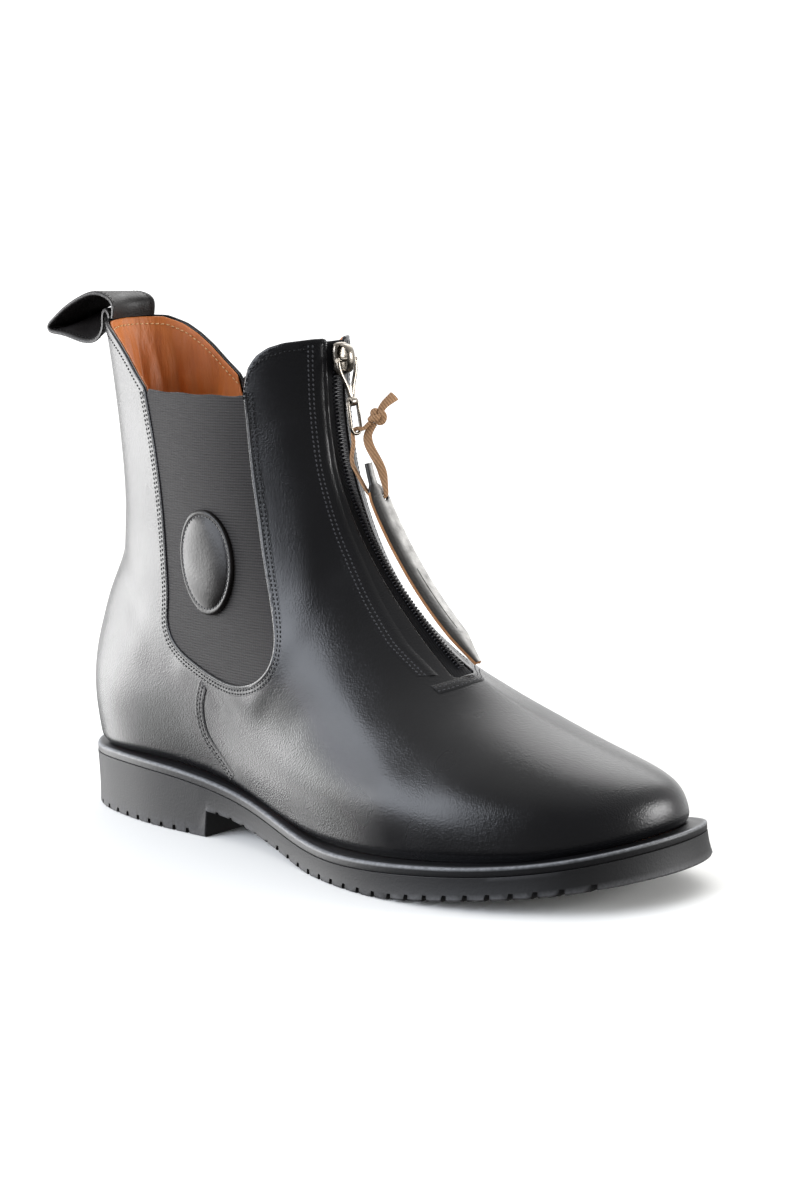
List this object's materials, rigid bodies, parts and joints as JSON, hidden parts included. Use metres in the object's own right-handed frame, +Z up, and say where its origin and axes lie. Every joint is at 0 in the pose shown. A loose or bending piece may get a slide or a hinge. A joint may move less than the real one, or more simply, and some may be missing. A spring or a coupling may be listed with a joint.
{
  "type": "ankle boot",
  "caption": "Leather ankle boot with elastic side gores, a front zip with a leather pull, a back pull loop and a moulded rubber sole with a low heel.",
  "frame": {"origin": "on the floor under the middle of the heel, on the heel's flat resting face", "axes": "+X forward to the toe, +Y to the inner side of the foot, +Z up"},
  "size_m": [0.3124, 0.105, 0.2147],
  "materials": {
    "sole_rubber": "matte moulded",
    "tan_leather": "natural lining",
    "black_leather": "polished smooth",
    "gore_elastic": "ribbed elastic",
    "zip_cloth": "woven tape",
    "zip_plastic": "moulded teeth",
    "nickel": "worn nickel",
    "cord_cotton": "waxed flat cord",
    "strap_leather": "matte with raw edges"
  },
  "bodies": {
    "boot": {"outsole": "sole_rubber", "welt": "sole_rubber", "insole": "tan_leather", "upper": "black_leather", "gore_outer": "gore_elastic", "gore_inner": "gore_elastic", "badge": "black_leather", "zip_tape": "zip_cloth", "zip_chain": "zip_plastic", "zip_slider": "nickel", "pull_loop": "black_leather"},
    "pull": {"zip_pull": "nickel"},
    "ring": {"zip_ring": "nickel", "pull_cord": "cord_cotton", "cord_knot": "cord_cotton", "cord_end": "cord_cotton", "pull_strap": "strap_leather"}
  },
  "joints": [
    {"name": "pull_hinge", "type": "hinge", "parent": "boot", "child": "pull", "pos_m": [0.1033, 0, 0.19], "axis": [0, -1, 0], "range_deg": [0, 110]},
    {"name": "ring_hinge", "type": "hinge", "parent": "pull", "child": "ring", "pos_m": [0.1055, 0, 0.17416], "axis": [0, -1, 0], "range_deg": [0, 60]}
  ]
}
